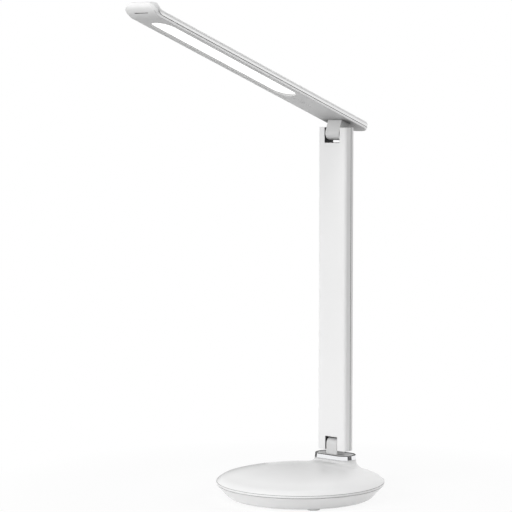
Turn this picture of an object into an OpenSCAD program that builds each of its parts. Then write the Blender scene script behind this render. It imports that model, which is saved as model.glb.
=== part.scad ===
// Folding LED desk lamp: a domed round base, a flat swing arm on a hinge post
// and a slim LED head with an upturned nose on a second hinge.
// Millimetres, +Z up. The origin is on the table under the middle of the base,
// the head reaches towards -Y and the hinge pins lie along X.

/* [Base] */
// Widest diameter of the base, at its rim
base_d = 170; // [160:1:190]
// Diameter of the flat underside of the bowl
bowl_floor_d = 145; // [140:1:150]
// Height of the rim line above the table
rim_h = 17; // [16:0.5:22]
// Height of the cover's upright band under the rim line
rim_band = 2; // [1.5:0.1:3]
// Rise of the dome above the rim line
dome_rise = 15.6; // [13:0.1:18]
// Radius of the shallow crown of the dome
crown_r = 286; // [260:1:330]
// Width of the rounded shoulder between rim and crown
shoulder_w = 8; // [6:0.5:12]
// Wall of the base shells
base_wall = 2.4; // [2:0.1:3]
// Depth of the dark joint lines round the base
joint_line = 0.5; // [0.3:0.1:0.8]
// Height that the feet stand out under the bowl
foot_h = 1; // [0.6:0.1:2]
// Diameter of a rubber foot
foot_d = 13; // [11:0.5:15]
// Angle of the front feet away from straight ahead
foot_angle = 52; // [40:1:56]
// Thickness of the steel ballast
ballast_t = 7; // [5:0.5:8]
// Radius of the steel ballast
ballast_r = 54; // [46:1:55]

/* [Hinge collar] */
// Distance of the arm behind the middle of the base
arm_y = 55.6; // [50:0.2:57]
// Width of the chrome collar
collar_w = 46.5; // [44:0.5:48]
// Depth of the chrome collar
collar_l = 25; // [24:0.5:28]
// Corner radius of the chrome collar
collar_r = 11; // [8:0.5:11.5]
// Height of the chrome collar
collar_h = 5; // [4.6:0.1:6]
// Height of the collar's upper edge above the table
collar_top = 37.8; // [37.5:0.1:41]
// Wall of the chrome collar
collar_wall = 1.5; // [1.2:0.1:2]
// Radius of the hollow flare between dome and collar
flare_r = 7; // [5:0.5:7.5]
// Depth to which the flare's foot is sunk in the dome
flare_drop = 1.3; // [1:0.1:1.6]

/* [Hinges] */
// Height of the lower hinge pin above the collar
pin_above_collar = 9.9; // [9.8:0.1:12]
// Distance of each hinge pin from its end of the arm
pin_inset = 6; // [5.8:0.1:6.4]
// Radius of both hinge pins
pin_r = 2; // [1.8:0.1:2.1]
// Width of the post that carries the arm
post_w = 14.2; // [13:0.1:15]
// Radius of the round top of that post
post_r = 6.4; // [6:0.1:6.9]
// Width of the tongue that carries the head
tongue_w = 18; // [17:0.1:18.8]
// Radius of the round lower end of that tongue
tongue_r = 7; // [6.5:0.1:7]
// Gap on each side of a post or tongue in its slot
side_gap = 0.8; // [0.5:0.1:1]
// Running clearance round a turning pin
pin_play = 0.05; // [0.02:0.01:0.08]

/* [Arm] */
// Length of the arm
arm_len = 330.8; // [280:0.2:380]
// Width of the arm
arm_w = 37; // [37:0.5:40]
// Thickness of the arm
arm_t = 14.2; // [14:0.1:16]
// Corner radius of the arm's section
arm_r = 3.6; // [3:0.1:4.5]
// Wall of the arm
arm_wall = 2; // [1.6:0.1:2.1]
// Depth of the slot at the upper end
slot_top = 15.6; // [15:0.2:20]
// Depth of the slot at the lower end
slot_bottom = 13.9; // [13.6:0.1:18]
// Distance of the back cover's joint line behind the middle of the arm
arm_seam = 1.2; // [0.8:0.1:2]

/* [Head] */
// Rise of the head above level, as photographed
head_tilt = 19.64; // [0:0.01:60]
// Height of the head's underside above its hinge pin
head_lift = 11.9; // [11.2:0.1:14]
// Width of the head
head_w = 39.5; // [39:0.5:44]
// Thickness of the head
head_t = 8; // [7.8:0.1:9]
// Length of the head behind the hinge pin
head_back = 30.2; // [28:0.2:36]
// Length of the flat underside in front of the hinge pin
head_flat = 294; // [292:1:312]
// Corner radius of the rear end, seen from above
head_rear_r = 13; // [8:0.5:14]
// Inner radius of the upward bend at the nose
nose_bend_r = 21.5; // [18:0.5:30]
// Angle of the upward bend at the nose
nose_angle = 53; // [35:1:56]
// Corner radius of the nose
nose_corner_r = 10.5; // [6:0.5:12]
// Edge radius along the underside of the head
head_edge_r = 2; // [1.5:0.1:2]
// Edge radius along the top of the head
head_top_r = 3; // [2:0.1:3.4]
// Height of the bezel's side, up to the joint line
bezel_h = 2.2; // [2.1:0.1:2.6]
// Thickness of the bezel's face, which is also the depth of the window
bezel_t = 1.4; // [1.2:0.1:1.6]
// Wall of the head's cover
head_wall = 1.8; // [1.6:0.1:2]
// Width of the light window
window_w = 27.4; // [24:0.2:28]
// Length of the light window
window_len = 204; // [160:1:204]
// Start of the window in front of the hinge pin
window_from = 79.3; // [79:0.2:80]
// Number of light chips in each row
chip_count = 24; // [12:1:28]

/* [Hidden] */
$fn = 96;

// Shared clearances
seat = 0.02;      // round a fixed pin, screw or nut
fit = 0.1;        // between moulded pieces that locate each other
cut = 0.5;        // run-out of a cutting tool past a face
root = 1.5;       // depth to which a rib or boss is rooted in its shell

// Base
base_r = base_d / 2;
joint_z = rim_h - rim_band;             // where bowl and cover meet
floor_z = foot_h + base_wall;           // inside face of the bowl's floor
crown_cz = rim_h + dome_rise - crown_r; // centre of the crown's arc
shoulder_x = base_r - shoulder_w;
shoulder_z = crown_cz + sqrt(pow(crown_r, 2) - pow(shoulder_x, 2));
crown_n = [shoulder_x, shoulder_z - crown_cz] / crown_r;
rim_to_crown = [shoulder_x - base_r, shoulder_z - rim_h];
shoulder_r = (rim_to_crown * rim_to_crown) / (2 * (crown_n * rim_to_crown));
shoulder_c = [shoulder_x, shoulder_z] - shoulder_r * crown_n;
bowl_slope = (base_r - bowl_floor_d / 2) / (joint_z - foot_h);
bowl_wall_x = base_wall * sqrt(1 + pow(bowl_slope, 2)); // wall measured level

// Feet and the screws that they hide
foot_seat = 0.8;                        // depth of a foot's recess
foot_ring_r = (bowl_floor_d - foot_d) / 2 - 1;
foot_angles = [foot_angle, 180 - foot_angle, 180 + foot_angle, 360 - foot_angle];
screw_r = 1.5;
screw_head_r = 2.8;
screw_head_h = 1.8;
screw_len = 9;
screw_z = foot_h + foot_seat + fit;     // underside of a base screw's head
boss_r = 4.4;
boss_top = screw_z + screw_head_h + 2.4;

// Driver board and inlet at the back of the base
board_w = 34;
board_t = 1.6;
board_z = floor_z + 2.6;
board_front = 42;
board_tab_w = 13;
inlet_w = 8.94;
inlet_h = 3.2;
inlet_len = 7.4;
inlet_shell = 0.3;
inlet_z = board_z + board_t + inlet_h / 2;
inlet_face = base_r - (joint_z - inlet_z) * bowl_slope - 2.2;
board_back = inlet_face - 8.1;
plug_w = 12.8;
plug_h = 6.9;

// Collar and post
collar_z = collar_top - collar_h;
flare_y = arm_y * (1 - flare_r / crown_r);
stiffener_t = 2;
flange_t = 3.2;
plate_t = 1.2;
plate_drop = 0.6;                       // collar plate below the ring's edge
post_screw_x = 13;
post_screw_r = 2;
wire_r = 1.2;
post_wire_y = (pin_r + post_r) / 2 + 0.1;
tongue_wire_y = (pin_r + tongue_r) / 2;

// Hinges
lower_z = collar_top + pin_above_collar;
arm_z = lower_z - pin_inset;
upper_z = arm_z + arm_len - pin_inset;
slot_wall = 1.5;
ear_t = 2;
ear_r = 3.8;
washer_t = 0.5;
washer_r = 3.7;
washers = 2;
nut_t = 1.7;
nut_r = 3.7;
lower_slot = post_w / 2 + side_gap;     // half width of a slot
upper_slot = tongue_w / 2 + side_gap;
bracket_bar = 5;
bracket_tab = 16;
bracket_tab_w = 16;
bracket_boss_h = 3;
bracket_screw_r = 1.25;
cable_w = 8;
cable_t = 0.9;
lip_h = 1.6;                            // reach of the back cover's lip into the front shell
lip_t = 1;

// Head, in its own frame: hinge pin at the origin, front towards -Y
half_w = head_w / 2;
nose_r = head_t / 2 + 0.4;             // the nose's round end, just fuller than the head
nose_mid_r = nose_bend_r - head_t / 2;  // middle of the head's thickness in the bend
nose_c_angle = nose_angle - asin(nose_r / nose_mid_r);
nose_spare = 3;                         // degrees that the bend runs on before it is trimmed
window_end = window_from + window_len;
chip_w = 2.8;
chip_l = 3.5;
chip_t = 0.7;
chip_row = 6;                           // distance of each row of chips from the middle
chip_end = 15;                          // from an end of the window to the first chip
led_board_end = 4;
diffuser_t = 1.6;
flange_over = 2.2;                      // how far the diffuser laps behind the bezel
led_board_t = 1;
roof_in = head_t - 2;                   // inside face of the cover's roof
led_board_n = roof_in - led_board_t;
tongue_flange_t = 2.5;
spine_t = 1.5;
tongue_flange_w = 30;
tongue_flange_l = 25;
spine_front = 32;
touch_board_n = 3.6;
touch_board_t = 1;
touch_from = 38;
touch_to = 74;
touch_w = 26;

// ---------- shared forms ----------

// A rectangle with round corners, centred
module round_rect(w, l, r) {
    square([w - 2 * r, l], center = true);
    square([w, l - 2 * r], center = true);
    for (x = [-1, 1], y = [-1, 1])
        translate([x * (w / 2 - r), y * (l / 2 - r)]) circle(r);
}

// A slot shape with full round ends, along Y from y0 to y1
module stadium(w, y0, y1) {
    translate([-w / 2, y0 + w / 2]) square([w, y1 - y0 - w]);
    for (y = [y0 + w / 2, y1 - w / 2]) translate([0, y]) circle(w / 2);
}

// Places its children at each foot, which is also over each base screw
module at_feet() {
    for (a = foot_angles) rotate(a - 90) translate([foot_ring_r, 0, 0]) children();
}

module screw(r, head_r, head_h, len) {
    cylinder(r = head_r, h = head_h);
    cylinder(r = r, h = head_h + len);
}

// A round hole or rod along X, from x0 to x1, mirrored to both sides
module both_sides(x0, x1, r, fn = $fn) {
    for (s = [0, 1]) mirror([s, 0, 0])
        translate([x0, 0, 0]) rotate([0, 90, 0]) cylinder(r = r, h = x1 - x0, $fn = fn);
}

// ---------- base ----------

// Half section of everything under the dome's skin, taken in by t
module dome_half(t) {
    intersection() {
        translate([0, crown_cz]) circle(crown_r - t, $fn = 720);
        translate([0, joint_z - cut]) square([shoulder_x, crown_r]);
    }
    intersection() {
        translate(shoulder_c) circle(shoulder_r - t);
        translate([shoulder_x, joint_z - cut]) square([shoulder_w - t, crown_r]);
    }
}

module dome_solid(t) {
    rotate_extrude($fn = 180) dome_half(t);
}

// Flare that swells out of the dome, square to the dome's slope under the arm
module boss_flare() {
    w = collar_w + 2 * flare_r;
    l = collar_l + 2 * flare_r;
    r = collar_r + flare_r;
    difference() {
        translate([0, 0, -flare_r]) linear_extrude(2 * flare_r) round_rect(w, l, r);
        translate([0, 0, flare_r]) {
            for (s = [-1, 1]) {
                translate([s * w / 2, 0, 0]) rotate([90, 0, 0])
                    cylinder(r = flare_r, h = l - 2 * r, center = true);
                translate([0, s * l / 2, 0]) rotate([0, 90, 0])
                    cylinder(r = flare_r, h = w - 2 * r, center = true);
            }
            for (q = [0:3]) {
                x = (q == 0 || q == 3) ? 1 : -1;
                y = (q < 2) ? 1 : -1;
                translate([x * (w / 2 - r), y * (l / 2 - r), 0]) rotate(90 * q)
                    rotate_extrude(angle = 90) translate([r, 0]) circle(flare_r);
            }
        }
    }
}

// Places its children square to the dome's skin, so far forward that the flare's
// upper end comes out under the arm
module on_dome() {
    translate([0, flare_y, crown_cz + sqrt(pow(crown_r, 2) - pow(flare_y, 2)) - flare_drop])
        rotate([-asin(flare_y / crown_r), 0, 0]) children();
}

module base_top_cover() {
    color("whitesmoke") difference() {
        union() {
            dome_solid(0);
            translate([0, 0, joint_z]) cylinder(r = base_r, h = rim_band, $fn = 180);
            intersection() {
                union() {
                    on_dome() boss_flare();
                    translate([0, arm_y, joint_z])
                        linear_extrude(collar_z - joint_z)
                            round_rect(collar_w, collar_l, collar_r);
                }
                translate([0, 0, joint_z]) cylinder(r = base_r, h = collar_z - joint_z);
            }
        }
        // hollow under the skin, but not where the bosses, rib and hinge seat are
        difference() {
            union() {
                dome_solid(base_wall);
                translate([0, arm_y, joint_z]) linear_extrude(collar_z - base_wall - joint_z)
                    round_rect(collar_w - 2 * base_wall, collar_l - 2 * base_wall,
                               collar_r - base_wall);
            }
            at_feet() cylinder(r = boss_r, h = collar_top);
            difference() {
                cylinder(r = rib_out, h = collar_top);
                translate([0, 0, -cut]) cylinder(r = rib_out - 1.4, h = collar_top + 2 * cut);
            }
        }
        // everything below the joint
        translate([0, 0, joint_z - 2 * base_r]) cylinder(r = 2 * base_r, h = 2 * base_r);
        // the thin line at the rim
        translate([0, 0, rim_h]) difference() {
            cylinder(r = base_r + cut, h = joint_line * 0.7, $fn = 180);
            translate([0, 0, -cut]) cylinder(r = base_r - joint_line, h = 2, $fn = 180);
        }
        translate([0, 0, joint_z - cut]) at_feet() cylinder(r = screw_r + seat, h = cut + screw_len);
        // holes for the post's screws and the wires
        for (x = [-1, 1]) translate([x * post_screw_x, arm_y, joint_z])
            cylinder(r = post_screw_r + fit, h = collar_h + dome_rise);
        translate([0, arm_y + post_wire_y, joint_z]) cylinder(r = wire_r, h = collar_h + dome_rise);
    }
    // locating rib and screw bosses that reach down into the bowl
    color("whitesmoke") {
        translate([0, 0, rib_foot]) difference() {
            cylinder(r = rib_out, h = joint_z - rib_foot + root);
            translate([0, 0, -cut]) cylinder(r = rib_out - 1.4, h = joint_z);
        }
        at_feet() translate([0, 0, boss_top]) difference() {
            cylinder(r = boss_r, h = joint_z - boss_top + root);
            translate([0, 0, -cut]) cylinder(r = screw_r + seat, h = joint_z);
        }
    }
}

rib_foot = joint_z - 2.4;
rib_out = base_r - (joint_z - rib_foot) * bowl_slope - bowl_wall_x - fit;

module bowl_half(inset_x, z0) {
    polygon([[0, z0],
             [bowl_floor_d / 2 + (z0 - foot_h) * bowl_slope - inset_x, z0],
             [base_r - inset_x, joint_z],
             [0, joint_z]]);
}

module base_bowl() {
    color("gainsboro") difference() {
        union() {
            difference() {
                rotate_extrude($fn = 180) bowl_half(0, foot_h);
                rotate_extrude($fn = 180) bowl_half(bowl_wall_x, floor_z);
                // run-out of the hollow through the open top
                translate([0, 0, joint_z - cut / 2])
                    cylinder(r = base_r - bowl_wall_x - cut, h = cut);
            }
            at_feet() translate([0, 0, foot_h]) cylinder(r = boss_r, h = boss_top - foot_h);
            // posts under the driver board
            for (x = [-1, 1], y = [board_front + 3, board_back - 10])
                translate([x * (board_w / 2 - 3), y, foot_h + 1])
                    cylinder(r = 2.2, h = board_z - foot_h - 1);
            // stiffening ribs round the ballast
            for (a = [0:30:330]) if (a != 90) rotate(a)
                translate([ballast_r + 1, -0.6, foot_h + 1])
                    cube([bowl_floor_d / 2 - bowl_wall_x - ballast_r - 1.2, 1.2, base_wall + 1.6]);
        }
        at_feet() {
            cylinder(r = foot_d / 2 + fit, h = foot_h + foot_seat);
            cylinder(r = screw_head_r + fit, h = screw_z + screw_head_h);
            cylinder(r = screw_r + fit, h = joint_z);
        }
        // the dark line under the rim band
        translate([0, 0, joint_z - joint_line]) difference() {
            cylinder(r = base_r + cut, h = 2 * joint_line, $fn = 180);
            translate([0, 0, -cut]) cylinder(r = base_r - 2 * joint_line, h = 2, $fn = 180);
        }
        // mouth for the plug
        translate([0, inlet_face - 6, inlet_z]) rotate([-90, 90, 0])
            linear_extrude(20) stadium(plug_h, -plug_w / 2, plug_w / 2);
    }
}

module ballast_plate() {
    color("dimgray") translate([0, 0, floor_z]) difference() {
        cylinder(r = ballast_r, h = ballast_t);
        translate([-ballast_r, board_front - 2, -cut]) cube([2 * ballast_r, ballast_r, ballast_t + 2 * cut]);
        for (x = [-1, 1]) translate([x * 30, 0, -cut]) cylinder(r = 3, h = ballast_t + 2 * cut);
    }
}

module rubber_feet() {
    color("silver") at_feet() cylinder(r = foot_d / 2, h = foot_h + foot_seat);
}

module base_screws() {
    color("lightsteelblue") at_feet() translate([0, 0, screw_z])
        screw(screw_r, screw_head_r, screw_head_h, screw_len);
}

module driver_board() {
    color("seagreen") translate([0, 0, board_z]) linear_extrude(board_t) {
        translate([-board_w / 2, board_front]) square([board_w, board_back - 7 - board_front]);
        translate([-board_tab_w / 2, board_front]) square([board_tab_w, board_back - board_front]);
    }
}

module driver_components() {
    top = board_z + board_t;
    // inductor, capacitor, controller and wire plug
    color("dimgray") translate([-9, board_front + 6, top]) cylinder(r = 3.4, h = 3.6);
    color("silver") translate([0, board_front + 5, top]) cylinder(r = 2.5, h = 5);
    color("black") translate([5, board_front + 3, top]) cube([5, 5, 1]);
    color("ivory") translate([-4, board_front + 12, top]) cube([8, 4, 4.2]);
}

module power_inlet() {
    color("silver") translate([0, inlet_face - inlet_len, inlet_z]) rotate([-90, 90, 0])
        difference() {
            linear_extrude(inlet_len) stadium(inlet_h, -inlet_w / 2, inlet_w / 2);
            translate([0, 0, 1]) linear_extrude(inlet_len)
                stadium(inlet_h - 2 * inlet_shell, -inlet_w / 2 + inlet_shell, inlet_w / 2 - inlet_shell);
        }
}

module inlet_tongue() {
    color("black") translate([-inlet_w / 2 + 1.2, inlet_face - inlet_len + 1, inlet_z - 0.35])
        cube([inlet_w - 2.4, inlet_len - 2, 0.7]);
}

module boss_stiffener() {
    color("silver") translate([0, arm_y, collar_z - base_wall - stiffener_t]) difference() {
        linear_extrude(stiffener_t)
            round_rect(collar_w - 2 * base_wall - 2 * fit, collar_l - 2 * base_wall - 2 * fit,
                       collar_r - base_wall - fit);
        for (x = [-1, 1]) translate([x * post_screw_x, 0, -cut])
            cylinder(r = post_screw_r + fit, h = stiffener_t + 2 * cut);
        translate([0, post_wire_y, -cut]) cylinder(r = wire_r, h = stiffener_t + 2 * cut);
    }
}

module hinge_post() {
    flange_l = collar_l - 2 * collar_wall - 1;
    color("lightgray") translate([0, arm_y, 0]) difference() {
        union() {
            translate([0, 0, collar_z]) linear_extrude(flange_t)
                round_rect(collar_w - 2 * collar_wall - 1, flange_l, collar_r - collar_wall - 0.5);
            translate([-post_w / 2, -post_r, collar_z]) cube([post_w, 2 * post_r, lower_z - collar_z]);
            translate([0, 0, lower_z]) rotate([0, 90, 0])
                cylinder(r = post_r, h = post_w, center = true);
        }
        translate([0, 0, lower_z]) rotate([0, 90, 0])
            cylinder(r = pin_r + seat, h = post_w + 2 * cut, center = true);
        for (x = [-1, 1]) translate([x * post_screw_x, 0, collar_z - cut])
            cylinder(r = post_screw_r + seat, h = flange_t + 2 * cut);
        translate([0, post_wire_y, collar_z - cut]) cylinder(r = wire_r, h = lower_z);
    }
}

module post_screws() {
    head_h = 2.4;
    grip = stiffener_t + base_wall + flange_t;
    color("lightsteelblue") for (x = [-1, 1])
        translate([x * post_screw_x, arm_y, collar_z + flange_t - grip - head_h])
            screw(post_screw_r, 3.4, head_h, grip);
}

module collar_ring() {
    color("silver") translate([0, arm_y, collar_z]) difference() {
        linear_extrude(collar_h) round_rect(collar_w, collar_l, collar_r);
        translate([0, 0, -cut]) linear_extrude(collar_h + 2 * cut)
            round_rect(collar_w - 2 * collar_wall, collar_l - 2 * collar_wall, collar_r - collar_wall);
    }
}

module collar_plate() {
    color("gray") translate([0, arm_y, collar_z + flange_t]) difference() {
        linear_extrude(collar_h - flange_t - plate_drop)
            round_rect(collar_w - 2 * collar_wall - 2 * fit, collar_l - 2 * collar_wall - 2 * fit,
                       collar_r - collar_wall - fit);
        translate([-post_w / 2 - fit, -post_r - fit, -cut])
            cube([post_w + 2 * fit, 2 * (post_r + fit), collar_h]);
    }
}

// ---------- hinge stacks: an ear, washers and a nut on each side of a slot ----------

function ear_from(slot) = slot + slot_wall;
function washers_from(slot) = ear_from(slot) + ear_t;
function nut_from(slot) = washers_from(slot) + washers * washer_t + fit;
function pin_end(slot) = nut_from(slot) + nut_t + fit;

module hinge_pin(slot) {
    both_sides(0, pin_end(slot), pin_r);
}

module hinge_nuts(slot) {
    difference() {
        both_sides(nut_from(slot), nut_from(slot) + nut_t, nut_r, 6);
        both_sides(0, pin_end(slot) + cut, pin_r + seat);
    }
}

module spring_washers(slot) {
    difference() {
        for (i = [0:washers - 1])
            both_sides(washers_from(slot) + i * washer_t,
                       washers_from(slot) + (i + 0.8) * washer_t, washer_r);
        both_sides(0, pin_end(slot) + cut, pin_r + pin_play);
    }
}

module base_hinge_pin() {
    color("silver") translate([0, arm_y, lower_z]) hinge_pin(lower_slot);
}

module base_hinge_nuts() {
    color("lightsteelblue") translate([0, arm_y, lower_z]) hinge_nuts(lower_slot);
}

module lower_spring_washers() {
    color("silver") translate([0, arm_y, lower_z]) spring_washers(lower_slot);
}

module upper_spring_washers() {
    color("silver") translate([0, arm_y, upper_z]) spring_washers(upper_slot);
}

// ---------- arm ----------

module arm_section(inset) {
    round_rect(arm_w - 2 * inset, arm_t - 2 * inset, arm_r - inset);
}

// The arm's outer form between the two slots, upright at its place
module arm_outer() {
    translate([0, arm_y, arm_z]) linear_extrude(arm_len) arm_section(0);
}

module arm_hollow() {
    translate([0, arm_y, arm_z + arm_wall]) linear_extrude(arm_len - 2 * arm_wall)
        arm_section(arm_wall);
}

// The two open slots, each side taken out by a margin
module arm_slots(margin) {
    translate([-upper_slot - margin, arm_y - arm_t, arm_z + arm_len - slot_top - margin])
        cube([2 * (upper_slot + margin), 2 * arm_t, slot_top + margin + cut]);
    translate([-lower_slot - margin, arm_y - arm_t, arm_z - cut])
        cube([2 * (lower_slot + margin), 2 * arm_t, slot_bottom + margin + cut]);
}

// Space in front of (side -1) or behind (side 1) the arm's joint line
module arm_half(side) {
    translate([-arm_w, side < 0 ? arm_y + arm_seam - arm_t : arm_y + arm_seam, arm_z - cut])
        cube([2 * arm_w, arm_t, arm_len + 2 * cut]);
}

module arm_seam_line() {
    translate([0, arm_y + arm_seam, arm_z + arm_len / 2]) difference() {
        cube([arm_w + cut, joint_line, arm_len + cut], center = true);
        cube([arm_w - joint_line, 2 * joint_line, arm_len - joint_line], center = true);
    }
}

// Heights of the two bracket screws, as distances from the slot's inner wall
bracket_screws_at = [bracket_bar + 4, bracket_bar + bracket_tab - 4];

module at_bracket_screws() {
    for (d = bracket_screws_at) {
        translate([0, arm_y - arm_t / 2 + arm_wall, arm_z + arm_len - slot_top - slot_wall - d])
            rotate([-90, 0, 0]) children();
        translate([0, arm_y - arm_t / 2 + arm_wall, arm_z + slot_bottom + slot_wall + d])
            rotate([-90, 0, 0]) children();
    }
}

module arm_front_shell() {
    color("whitesmoke") difference() {
        union() {
            intersection() {
                difference() { arm_outer(); arm_hollow(); }
                arm_half(-1);
            }
            // side and end walls of both slots run through to the back
            intersection() { arm_outer(); arm_slots(slot_wall); }
            at_bracket_screws() translate([0, 0, -arm_wall / 2])
                cylinder(r = 3, h = bracket_boss_h + arm_wall / 2);
        }
        arm_slots(0);
        arm_seam_line();
        translate([0, arm_y, lower_z]) both_sides(0, pin_end(lower_slot), pin_r + fit);
        translate([0, arm_y, upper_z]) both_sides(0, pin_end(upper_slot), pin_r + fit);
        // wire holes in the slots' end walls
        translate([0, arm_y + post_wire_y - 1.5, arm_z]) cylinder(r = 1.6, h = arm_len);
        at_bracket_screws() translate([0, 0, -arm_wall / 2])
            cylinder(r = bracket_screw_r + seat, h = bracket_boss_h + arm_wall);
    }
}

module arm_back_cover() {
    color("white") {
        difference() {
            intersection() {
                difference() { arm_outer(); arm_hollow(); }
                arm_half(1);
            }
            arm_slots(slot_wall + fit);
            arm_seam_line();
        }
        // lip that locates the cover inside the front shell
        for (s = [-1, 1])
            translate([s * (arm_w / 2 - arm_wall - fit - lip_t / 2) - lip_t / 2,
                       arm_y + arm_seam - lip_h, arm_z + slot_bottom + slot_wall + arm_wall])
                cube([lip_t, lip_h + 3,
                      arm_len - slot_bottom - slot_top - 2 * (slot_wall + arm_wall)]);
    }
}

// U-shaped bracket: two ears up beside the slot, a bar and a tab with screw holes
module hinge_bracket(slot, reach) {
    out = washers_from(slot);
    depth = arm_t - 2 * arm_wall - 1;
    boss_y = -arm_t / 2 + arm_wall + bracket_boss_h;
    difference() {
        union() {
            for (s = [0, 1]) mirror([s, 0, 0]) translate([ear_from(slot), 0, 0]) {
                rotate([0, 90, 0]) cylinder(r = ear_r, h = ear_t);
                translate([0, -ear_r, -reach - bracket_bar]) cube([ear_t, 2 * ear_r, reach + bracket_bar]);
            }
            translate([-out, -depth / 2 + 1, -reach - bracket_bar])
                cube([2 * out, depth - 2, bracket_bar]);
            translate([-bracket_tab_w / 2, boss_y, -reach - bracket_bar - bracket_tab])
                cube([bracket_tab_w, 2, bracket_tab + 1]);
        }
        both_sides(0, out + cut, pin_r + pin_play);
        for (d = bracket_screws_at) translate([0, boss_y - cut, -reach - d]) rotate([-90, 0, 0])
            cylinder(r = bracket_screw_r + fit, h = 3);
        translate([0, post_wire_y - 1.5, -reach - bracket_bar - cut])
            cylinder(r = 1.8, h = bracket_bar + 2 * cut);
    }
}

module arm_upper_bracket() {
    color("darkgray") translate([0, arm_y, upper_z])
        hinge_bracket(upper_slot, slot_top + slot_wall - pin_inset);
}

module arm_lower_bracket() {
    color("darkgray") translate([0, arm_y, lower_z]) mirror([0, 0, 1])
        hinge_bracket(lower_slot, slot_bottom + slot_wall - pin_inset);
}

module bracket_screws() {
    color("lightsteelblue") at_bracket_screws()
        translate([0, 0, bracket_boss_h + 2 + 1.5]) mirror([0, 0, 1])
            screw(bracket_screw_r, 2.4, 1.5, bracket_boss_h + 1.6);
}

module arm_cable() {
    z0 = arm_z + slot_bottom + slot_wall + bracket_bar + 1;
    z1 = arm_z + arm_len - slot_top - slot_wall - bracket_bar - 1;
    color("ivory") translate([-cable_w / 2, arm_y + arm_t / 2 - arm_wall - cable_t, z0])
        cube([cable_w, cable_t, z1 - z0]);
}

// ---------- head ----------

// Places its children in the head's own frame at the upper hinge pin
module on_head() {
    translate([0, arm_y, upper_z]) rotate([-head_tilt, 0, 0]) children();
}

// Sweeps a section, drawn across the head, along it: round rear end, straight
// run and the upward bend at the nose
module head_sweep() {
    r = head_rear_r;
    back = head_back - r;
    translate([0, back, head_lift]) {
        rotate([90, 0, 0]) linear_extrude(back + head_flat) children();
        for (s = [0, 1]) translate([(1 - 2 * s) * (half_w - r), 0, 0]) rotate(90 * s)
            rotate_extrude(angle = 90) edge_only(r) children();
        translate([r - half_w, 0, 0]) rotate([90, 0, 90])
            linear_extrude(head_w - 2 * r) edge_only(r) children();
    }
    translate([0, -head_flat, head_lift + nose_bend_r]) rotate([0, 90, 180])
        rotate_extrude(angle = nose_angle + nose_spare)
            translate([nose_bend_r, 0]) rotate(90) children();
}

// The outer strip, r wide, of a section across the head
module edge_only(r) {
    intersection() {
        translate([r - half_w, 0]) children();
        square([r, 2 * head_t]);
    }
}

// Section across the head between two heights above its underside
module head_section(n0, n1) {
    e = head_edge_r;
    t = head_top_r;
    intersection() {
        union() {
            translate([-half_w, e]) square([head_w, head_t - e - t]);
            translate([-half_w + e, 0]) square([head_w - 2 * e, head_t - t]);
            translate([-half_w + t, e]) square([head_w - 2 * t, head_t - e]);
            for (x = [-1, 1]) {
                translate([x * (half_w - e), e]) circle(e);
                translate([x * (half_w - t), head_t - t]) circle(t);
            }
        }
        translate([-head_w, n0]) square([2 * head_w, n1 - n0]);
    }
}

// Cuts the sweep's open end to the round nose with its two round corners
module nose_trim() {
    big = 3 * nose_bend_r;
    translate([0, -head_flat, head_lift + nose_bend_r]) rotate([-nose_c_angle, 0, 0])
        difference() {
            translate([-head_w, -big, -big]) cube([2 * head_w, big, big + cut]);
            translate([0, 0, -nose_mid_r]) rotate([0, 90, 0])
                cylinder(r = nose_r, h = head_w + 2 * cut, center = true);
        }
}

module nose_corners() {
    c = nose_corner_r;
    past = 0.03; // each round runs just past the side and the tip, so it meets them in an edge
    translate([0, -head_flat, head_lift + nose_bend_r]) rotate([-nose_c_angle, 0, 0])
        for (s = [0, 1]) mirror([s, 0, 0])
            translate([half_w - c + past, c - nose_r - past, -nose_bend_r - cut])
                linear_extrude(head_t + 3)
                difference() {
                    translate([0, -c - 2]) square([c + 2, c + 2]);
                    circle(c);
                }
}

// Inside of the head, taken in from its outline by w, between two heights
module head_inside(w, n0, n1) {
    y0 = -head_flat + 1.2 + w;
    y1 = head_back - w;
    translate([0, 0, head_lift + n0]) linear_extrude(n1 - n0) translate([0, (y0 + y1) / 2])
        round_rect(head_w - 2 * w, y1 - y0, head_rear_r - w);
}

module head_bezel() {
    color("whitesmoke") on_head() difference() {
        union() {
            difference() {
                head_sweep() head_section(0, bezel_h);
                nose_trim();
                nose_corners();
                head_inside(head_wall, bezel_t, head_t);
            }
            // rib that locates the cover
            difference() {
                head_inside(head_wall + fit, bezel_t - 0.2, bezel_h + 1.4);
                head_inside(head_wall + fit + 1, bezel_t - 1, head_t);
            }
        }
        translate([0, 0, head_lift - cut]) linear_extrude(head_t)
            stadium(window_w, -window_end, -window_from);
        translate([0, 0, head_lift]) cube([tongue_w + 2 * fit, 2 * (tongue_r + fit), 8], center = true);
        nose_slit();
    }
}

// Fine slit across the nose's underside
module nose_slit() {
    slit_w = 17;
    slit_from = 9.1; // past the start of the bend
    translate([0, -head_flat, head_lift + nose_bend_r])
        rotate([-asin(slit_from / nose_bend_r), 0, 0])
            translate([0, 0, -nose_bend_r]) cube([slit_w, 0.9, 1.2], center = true);
}

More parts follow.
